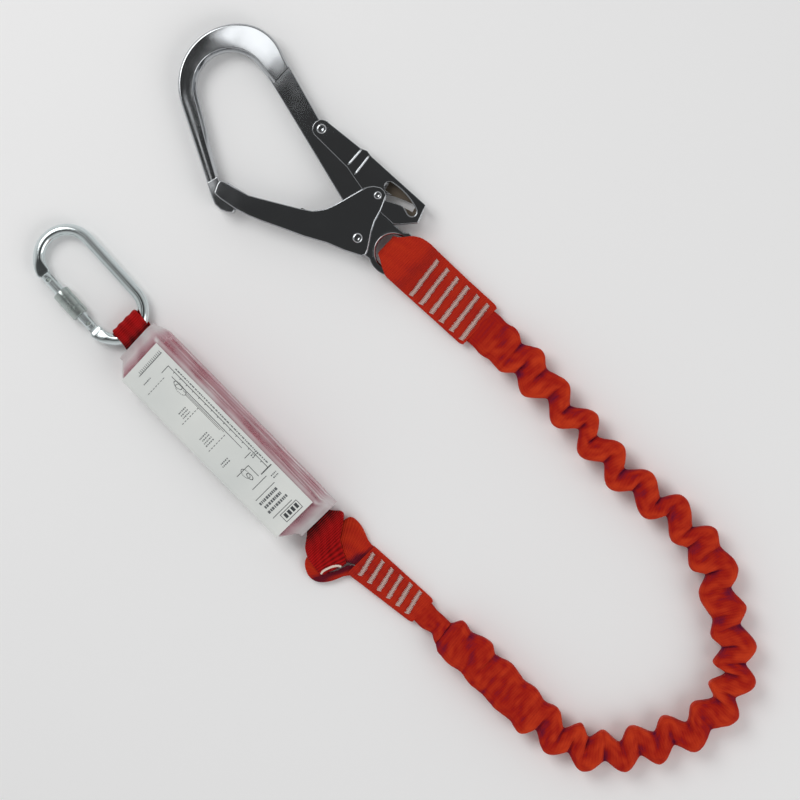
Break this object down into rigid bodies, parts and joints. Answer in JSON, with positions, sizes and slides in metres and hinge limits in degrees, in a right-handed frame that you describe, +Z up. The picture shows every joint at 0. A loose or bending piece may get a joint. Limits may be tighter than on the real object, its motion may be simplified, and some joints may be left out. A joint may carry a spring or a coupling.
{
  "type": "shock absorbing lanyard",
  "caption": "Elastic webbing lanyard with a tear-webbing shock absorber pack, an oval screwgate karabiner and a double-action scaffold hook.",
  "frame": {"origin": "on the surface the lanyard lies on, under the middle of the hard parts' and webbing loops' bounding box, without the free elastic webbing", "axes": "+Z up, out of the label side. +Y from the absorber end towards the hook's crown. +X towards the bight of the elastic webbing."},
  "size_m": [0.575, 0.5942, 0.0436],
  "materials": {
    "chrome": "polished",
    "zinc": "satin",
    "spring": "satin",
    "sleeve": "gloss",
    "card": "satin",
    "red_webbing": "matte",
    "orange_webbing": "matte",
    "thread": "matte",
    "elastic": "matte"
  },
  "bodies": {
    "lanyard": {"absorber_cover": "sleeve", "absorber_tear_webbing": "red_webbing", "absorber_label": "card", "absorber_upper_loop": "red_webbing", "absorber_lower_loop": "red_webbing", "lanyard_absorber_loop": "orange_webbing", "lanyard_hook_loop": "orange_webbing", "elastic_webbing": "orange_webbing", "elastic_core": "elastic", "absorber_end_tack_1": "thread", "absorber_end_tack_2": "thread", "absorber_end_tack_3": "thread", "absorber_end_tack_4": "thread", "absorber_end_tack_5": "thread", "absorber_end_tack_6": "thread", "hook_end_tack_1": "thread", "hook_end_tack_2": "thread", "hook_end_tack_3": "thread", "hook_end_tack_4": "thread", "hook_end_tack_5": "thread", "hook_end_tack_6": "thread"},
    "karabiner": {"karabiner_body": "zinc", "karabiner_gate_rivet": "zinc"},
    "karabiner_gate": {"karabiner_gate": "zinc", "karabiner_latch_pin": "zinc", "karabiner_plunger": "spring", "karabiner_gate_spring": "spring"},
    "karabiner_sleeve": {"karabiner_screw_sleeve": "zinc"},
    "hook": {"hook_body": "chrome", "hook_gate_rivet": "chrome", "hook_lever_rivet": "chrome"},
    "hook_gate": {"hook_gate": "chrome", "hook_lock_pin": "chrome", "hook_gate_spring": "spring"},
    "hook_lever": {"hook_lever": "chrome", "hook_lever_spring": "spring"}
  },
  "joints": [
    {"name": "karabiner_swing", "type": "hinge", "parent": "lanyard", "child": "karabiner", "pos_m": [-0.12325, 0.01093, 0.0072], "axis": [0, 0, 1], "range_deg": [-25, 25]},
    {"name": "karabiner_gate_swing", "type": "hinge", "parent": "karabiner", "child": "karabiner_gate", "pos_m": [-0.14479, 0.00119, 0.0072], "axis": [0, 0, 1], "range_deg": [-28, 0], "stiffness_Nm_per_rad": 0.05},
    {"name": "karabiner_sleeve_travel", "type": "slide", "parent": "karabiner_gate", "child": "karabiner_sleeve", "axis": [-0.6717, 0.7408, 0], "range_m": [0, 0.008]},
    {"name": "hook_swing", "type": "hinge", "parent": "lanyard", "child": "hook", "pos_m": [0.1, 0.0584, 0.01], "axis": [0, 0, 1], "range_deg": [0, 30]},
    {"name": "hook_gate_swing", "type": "hinge", "parent": "hook", "child": "hook_gate", "pos_m": [0.07199, 0.0691, 0.01], "axis": [0, 0, 1], "range_deg": [-36, 0], "stiffness_Nm_per_rad": 0.2},
    {"name": "hook_lever_squeeze", "type": "hinge", "parent": "hook", "child": "hook_lever", "pos_m": [0.04328, 0.15591, 0.01], "axis": [0, 0, 1], "range_deg": [-7.1, 0]}
  ],
  "couplings": [
    {"joint": "hook_lever_squeeze", "follows": "hook_gate_swing", "ratio": 0.1944}
  ]
}
